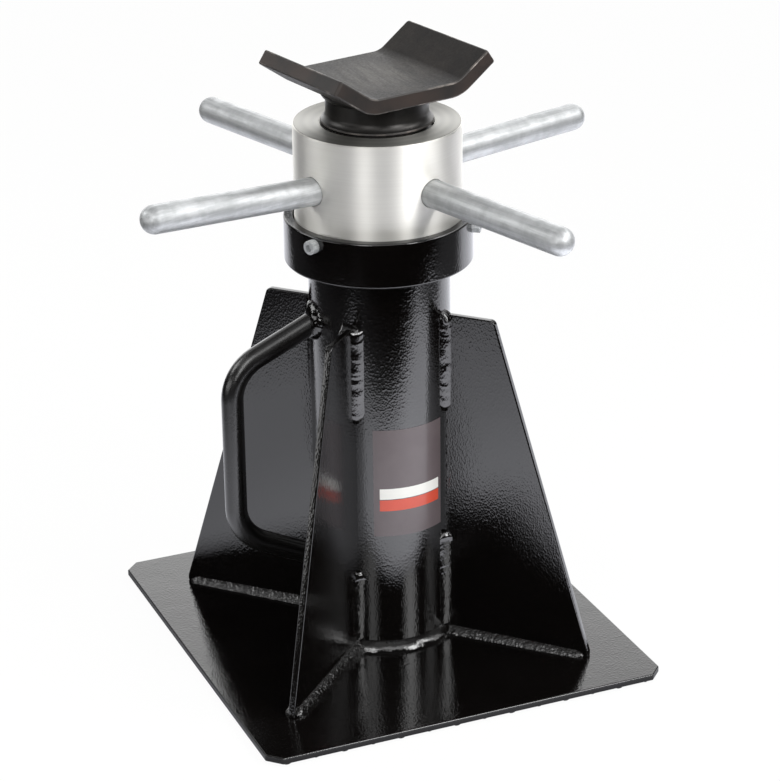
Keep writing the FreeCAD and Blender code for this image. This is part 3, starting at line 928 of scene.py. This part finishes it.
# %% Beads at the handle's ends
handle_beads = []
drop_count = 28
drop = weld_drop("handle_drop", 5.6 * MM)
for sign in (1, -1):
    axis = Vector((leg.x, 0, leg.z * sign))
    axis_start = Vector((leg_start.x, 0, handle_middle + sign * (leg_start.z - handle_middle)))
    upward = SIDE.cross(axis)
    for step in range(drop_count):
        around = 2 * pi * step / drop_count
        radial = SIDE * cos(around) + upward * sin(around)
        point = axis_start + radial * handle_radius
        a = axis.x ** 2 + axis.y ** 2
        b = 2 * (point.x * axis.x + point.y * axis.y)
        c = point.x ** 2 + point.y ** 2 - column_radius ** 2
        point += axis * ((-b + sqrt(b * b - 4 * a * c)) / (2 * a))
        handle_beads.append(laid(drop, point, axis.cross(radial), axis, radial))
scrap(drop)
handle_bead = melted("handle_end_beads", *handle_beads, lump=0.8 * MM)
handle_bead.rotation_euler.z = radians(handle_turn)
painted(settled(handle_bead), "handle_welds", sharp=80)

# %% [markdown]
# ## The collar cup
# A turned cup, welded on the tube, in which the nut sits and turns. A turned piece is a half section swept
# round its axis: the outline is drawn corner by corner, its outer corners are rounded with a bevel on the
# points, and Spin takes it round. The seam is merged, and the normals are set outwards.

# %% Helpers for turned pieces


def near(corner):
    """A test for points at a corner of an outline in millimetres."""
    place = Vector((corner[0], 0, corner[1])) * MM
    return lambda vert: (vert.co - place).length < 0.02 * MM


def turned(name, line, steps, rounded=(), closed=False, axis=UP):
    """A piece swept from its outline in mm. Rounded corners come with a reach and a count of segments."""
    piece = drawn_line(name, line)
    if closed:
        first, last = near(line[0]), near(line[-1])
        pick("verts", lambda vert: first(vert) or last(vert))
        bpy.ops.mesh.edge_face_add()
    for corner, reach, segments in rounded:
        pick("verts", near(corner))
        bpy.ops.mesh.bevel(offset=reach * MM, segments=segments, affect="VERTICES", profile=0.5)
    bpy.ops.mesh.select_all(action="SELECT")
    bpy.ops.mesh.spin(steps=steps, angle=2 * pi, center=(0, 0, 0), axis=axis)
    bpy.ops.mesh.select_all(action="SELECT")
    bpy.ops.mesh.remove_doubles(threshold=0.002 * MM)
    facing_out()
    nothing_selected()
    return piece


# %% Collar
collar_low, collar_high = (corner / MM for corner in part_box("collar_cup"))
rim = collar_high.x
inside = rim - 6.8
floor_top = collar_low.z + 9.6
floor_hole = 42
seat, seat_top = column_radius / MM + 0.1, collar_low.z + 3.6
low_rim, high_rim, inner_rim = (rim, collar_low.z), (rim, collar_high.z), (inside, collar_high.z)
collar = turned("collar_cup_turned", [
    (seat, collar_low.z), low_rim, high_rim, inner_rim, (inside, floor_top), (floor_hole, floor_top),
    (floor_hole, seat_top), (seat, seat_top)],
    160, [(low_rim, 1.6, 4), (high_rim, 1.3, 4), (inner_rim, 0.9, 4)], closed=True)
painted(collar, "collar_cup")

# %% [markdown]
# ## The nut
# A drum of bright steel, turned on a lathe: broken edges, a groove near the foot for the screw points, a
# plain bore at the thread's size, and four blind holes for the bars. The holes are cut with a Boolean, a
# little wider than the bars so that a fine dark line shows round each.

# %% Nut
nut_low, nut_high = (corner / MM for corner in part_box("lift_nut"))
nut_wall, nut_bore, nut_chamfer = 59.6, 40.3, 0.6
screw_level = 324.0
groove, groove_low, groove_high = nut_wall - 5, screw_level - 4, screw_level + 4
top_edge = (nut_wall, nut_high.z)
nut = turned("turned_nut", [
    (nut_bore, nut_low.z), (nut_wall, nut_low.z), (nut_wall, groove_low), (groove, groove_low),
    (groove, groove_high), (nut_wall, groove_high), top_edge, (nut_bore + nut_chamfer, nut_high.z),
    (nut_bore, nut_high.z - nut_chamfer)], 192, [(top_edge, 1.6, 3)], closed=True)

bar_level = 359.4
bar_radius, bar_in_nut = 10, 15
hole_gap, hole_depth, hole_middle = 0.45, 35 * MM, 2.4 * MM
bar_names = ("back_right", "back_left", "front_left", "front_right")
bar_rises = (0.0, 0.0, 5.2, 0.0)


def bar_place(place):
    """Where a bar that was drawn along +X from the nut's wall goes."""
    return (Matrix.Rotation(radians(bar_turn + 90 * place), 4, "Z")
            @ Matrix.Translation(Vector((nut_wall, 0, bar_level)) * MM)
            @ Matrix.Rotation(radians(-bar_rises[place]), 4, "Y"))


cutters = []
for place in range(4):
    nothing_selected()
    bpy.ops.mesh.primitive_cylinder_add(vertices=64, radius=(bar_radius + hole_gap) * MM, depth=hole_depth)
    bpy.context.object.matrix_world = (bar_place(place) @ Matrix.Translation((hole_middle, 0, 0))
                                       @ Matrix.Rotation(pi / 2, 4, "Y"))
    cutters.append(named("bar_hole"))
hole = joined("bar_holes", *cutters)
modify(nut, "BOOLEAN", operation="DIFFERENCE", object=hole, solver="EXACT")
scrap(hole)
nut.data.materials.clear()
for face in nut.data.polygons:
    face.material_index = 1 if face.normal.z > 0.9 and face.center.z > (nut_high.z - 0.2) * MM else 0
finished(nut, "nut", [turned_steel, faced_steel], ["lift_nut"])

# %% [markdown]
# ## The turning bars
# Four lengths of plated round bar with domed ends, driven into the nut. One is turned from an outline with
# a rounded far corner, about its own axis, and copied to the four holes. They were cut by hand, so each
# copy's round end is moved out to its own length. The front left one was driven in with a slight rise.

# %% Bars
bar_reaches = (197.85, 203.15, 202.85, 195.15)
free_length = min(bar_reaches) - nut_wall
far_edge, near_edge = (free_length, bar_radius), (-bar_in_nut, bar_radius)
dome = 9.6
bar = turned("bar", [(-bar_in_nut, 0), near_edge, far_edge, (free_length, 0)], 72,
             [(far_edge, dome, 12), (near_edge, 0.8, 1)], axis=OUT)
for place, bar_name in enumerate(bar_names):
    piece = copy_of(bar, "turning_bar_" + bar_name)
    edit(piece)
    pick("verts", lambda vert: vert.co.x > 50 * MM)
    bpy.ops.transform.translate(value=((bar_reaches[place] - min(bar_reaches)) * MM, 0, 0))
    nothing_selected()
    piece.matrix_world = bar_place(place)
    zinc = zinc_plate_across if place % 2 else zinc_plate
    finished(settled(piece), "nut", [zinc], ["bar_" + bar_name])
scrap(bar)

# %% [markdown]
# ## The retaining screws
# Small socket-head screws through the collar's wall keep the nut from lifting out. A head is a cylinder
# whose every second side is drawn in for the knurl, with a bevelled rim and a hexagon socket cut by a
# Boolean.

# %% Screws
head_sides, head_radius, head_height = 48, 5, 6
socket_width = 5
head_inset, head_slope = 0.55 * MM, 0.45 * MM
screw_turns = [206 + 120 * place for place in range(3)]
head_face, level = (rim + head_height) * MM, screw_level * MM
sideways = (0, pi / 2, 0)


def off_axis(part):
    """How far the middle of an edge lies from the screw's axis."""
    return (middle(part) - Vector((middle(part).x, 0, level))).length


nothing_selected()
bpy.ops.mesh.primitive_cylinder_add(
    vertices=head_sides, radius=head_radius * MM, depth=head_height * MM, rotation=sideways,
    location=((rim + head_height / 2) * MM, 0, level))
head = named("screw_head")
edit(head)
knurl = 360 / head_sides
pick("verts", lambda vert: round(degrees(atan2(vert.co.y, vert.co.z - level)) / knurl) % 2 == 1)
bpy.ops.transform.resize(value=(1, 0.95, 0.95), center_override=(rim * MM, 0, level))
pick("faces", lambda face: face.normal.x > 0.9)
bpy.ops.mesh.inset(thickness=head_inset, depth=0)
pick("edges", lambda edge: all(abs(vert.co.x - head_face) < 0.01 * MM for vert in edge.verts)
     and off_axis(edge) > 4.55 * MM)
bpy.ops.transform.translate(value=(-head_slope, 0, 0))
nothing_selected()
bpy.ops.mesh.primitive_cylinder_add(
    vertices=6, radius=socket_width / sqrt(3) * MM, depth=6 * MM, rotation=sideways,
    location=(head_face, 0, level))
socket = named("socket")
modify(head, "BOOLEAN", operation="DIFFERENCE", object=socket, solver="EXACT")
scrap(socket)
tip, shank_end, shank_radius = nut_wall - 4.2, rim + 0.2, 3
shank = turned("shank", [
    (tip, 0), (tip, shank_radius - 1), (tip + 1, shank_radius), (shank_end, shank_radius), (shank_end, 0)],
    32, axis=OUT)
shank.location.z = level
screw = joined("socket_screw", head, settled(shank))
screws = joined("retaining_socket_screws", *[copy_of(screw, "screw", turn) for turn in screw_turns])
scrap(screw)
finished(screws, "stand", [zinc_plate], ["retaining_screws"], sharp=25)

# %% [markdown]
# ## The spindle
# The lifting screw carries a coarse trapezoidal thread, which comes into sight as it rises. The Screw
# modifier sweeps one pitch of the thread's profile up a right-hand helix, Bisect trims both ends square,
# and the neck above it is a turned piece with a hollow flare down to a thin lip.

# %% Thread
spindle_low, spindle_high = (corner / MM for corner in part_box("spindle"))
pitch = 10.0
crest, thread_root = 40.0, 35.2
flank_foot, flank_head, next_foot = 3.6, 5.0, 8.6
thread_end = 398.5
thread = drawn_line("threaded_spindle", [
    (crest, 0), (crest, flank_foot), (thread_root, flank_head), (thread_root, next_foot), (crest, pitch)])
thread.location.z = (spindle_low.z - 12) * MM
settled(thread)
turns = ceil((spindle_high.z - spindle_low.z) / pitch) + 1
modify(thread, "SCREW", axis="Z", angle=2 * pi, screw_offset=pitch * MM, iterations=turns, steps=72,
       render_steps=72, use_merge_vertices=True, merge_threshold=0.002 * MM)
edit(thread)
bpy.ops.mesh.remove_doubles(threshold=0.004 * MM)
for level, side in ((spindle_low.z, -1), (thread_end, 1)):
    bpy.ops.mesh.select_all(action="SELECT")
    bpy.ops.mesh.bisect(plane_co=(0, 0, level * MM), plane_no=(0, 0, side), use_fill=True, clear_outer=True)
facing_out()
print("thread faces", len(bmesh.from_edit_mesh(thread.data).faces))

# %% Neck
neck_radius, neck_foot = 36.25, 398.4
flare, lip_top, lip_bottom = (neck_radius, 402.6), (39.6, 400.7), (39.9, 399.2)
neck = turned("neck", [
    (0, spindle_high.z), (neck_radius, spindle_high.z), flare, lip_top, lip_bottom, (36, neck_foot),
    (0, neck_foot)], 144, [(flare, 3.6, 8), (lip_top, 0.4, 3), (lip_bottom, 0.4, 3)])
spindle = joined("threaded_spindle", thread, neck)
rub_low, rub_high, rub_radius = 399.3, 400.6, 39.3 * MM
for face in spindle.data.polygons:
    if rub_low < face.center.z / MM < rub_high and face.center.xy.length > rub_radius:
        face.material_index = 1
finished(spindle, "spindle", [black_steel, rubbed_edge], ["spindle"])

# %% [markdown]
# ## The saddle
# A thick strip of plate, bent up at two sides to cradle an axle or a beam. It is made as it is pressed: a
# flat sheet, two edges extruded up as flanges, the fold lines rounded with a bevel, then Solidify for the
# plate's thickness and a bevel round the cut edges, whose faces get the rubbed finish.

# %% Saddle
saddle_bottom = spindle_high.z * MM
flat_half, saddle_half_length = 38.4 * MM, 48 * MM
flange, flange_angle = 35 * MM, radians(34.8)
saddle_plate = 11 * MM
fold_radius, saddle_corner, saddle_ease = 24 * MM, 2.2 * MM, 1.2 * MM
nothing_selected()
bpy.ops.mesh.primitive_plane_add(size=1, location=(0, 0, saddle_bottom))
bpy.context.object.scale = (2 * flat_half, 2 * saddle_half_length, 1)
saddle = named("bent_saddle")
edit(saddle)
for side in (1, -1):
    pick("edges", lambda edge: abs(middle(edge).x - side * flat_half) < 0.01 * MM)
    bpy.ops.mesh.extrude_edges_move(TRANSFORM_OT_translate={
        "value": (side * flange * cos(flange_angle), 0, flange * sin(flange_angle))})
pick("edges", lambda edge: abs(abs(middle(edge).x) - flat_half) < 0.01 * MM
     and abs(middle(edge).y) < 0.01 * MM)
bpy.ops.mesh.bevel(offset=fold_radius * tan(flange_angle / 2), segments=8, affect="EDGES")
facing_out()
nothing_selected()
if saddle.data.polygons[0].normal.z < 0:
    edit(saddle)
    bpy.ops.mesh.flip_normals()
modify(saddle, "SOLIDIFY", thickness=saddle_plate, offset=1, use_even_offset=True)
for finish in (mill_scale, rubbed_edge, sheared_end):
    saddle.data.materials.append(finish)


def is_corner(edge):
    """Whether an edge runs through the plate at one of the flanges' four corners."""
    place, length = middle(edge), (edge.verts[0].co - edge.verts[1].co).length
    at_corner = abs(place.x) > flat_half + 18 * MM and abs(place.y) > saddle_half_length - 0.1 * MM
    return at_corner and abs(length - saddle_plate) < 0.1 * MM


edit(saddle)
pick("edges", is_corner)
bpy.ops.mesh.bevel(offset=saddle_corner, segments=4, affect="EDGES")
nothing_selected()
for face in saddle.data.polygons:
    cut_end = abs(face.normal.y) > 0.5 or face.normal.x * face.center.x > 0.6 * abs(face.center.x)
    face.material_index = 2 if cut_end else 0
modify(saddle, "BEVEL", width=saddle_ease, segments=3, limit_method="ANGLE", angle_limit=radians(50),
       material=1)
saddle.rotation_euler.z = radians(saddle_turn)
finished(settled(saddle), "spindle", [], ["saddle"])

# %% Bead under the saddle
under_saddle = ring_bead(3.5 * MM, neck_radius * MM, saddle_bottom, -UP, 0, 360, 9)
saddle_bead = melted("saddle_bead", under_saddle, lump=0.4 * MM)
finished(saddle_bead, "spindle", [black_steel], ["saddle_weld"], sharp=80)

# %% [markdown]
# ## What stays out of sight
# The washer that the nut turns on, and the stop at the spindle's foot, are already the right shape in the
# CAD model. They keep their meshes and only get real finishes.

# %% Hidden hardware
for node_name, finish in (("thrust_washer", bronze), ("stop_washer", black_steel),
                          ("lock_washer", zinc_plate), ("stop_bolt", zinc_plate)):
    for material_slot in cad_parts[node_name].material_slots:
        material_slot.material = finish
    print(node_name, "gets", finish.name)
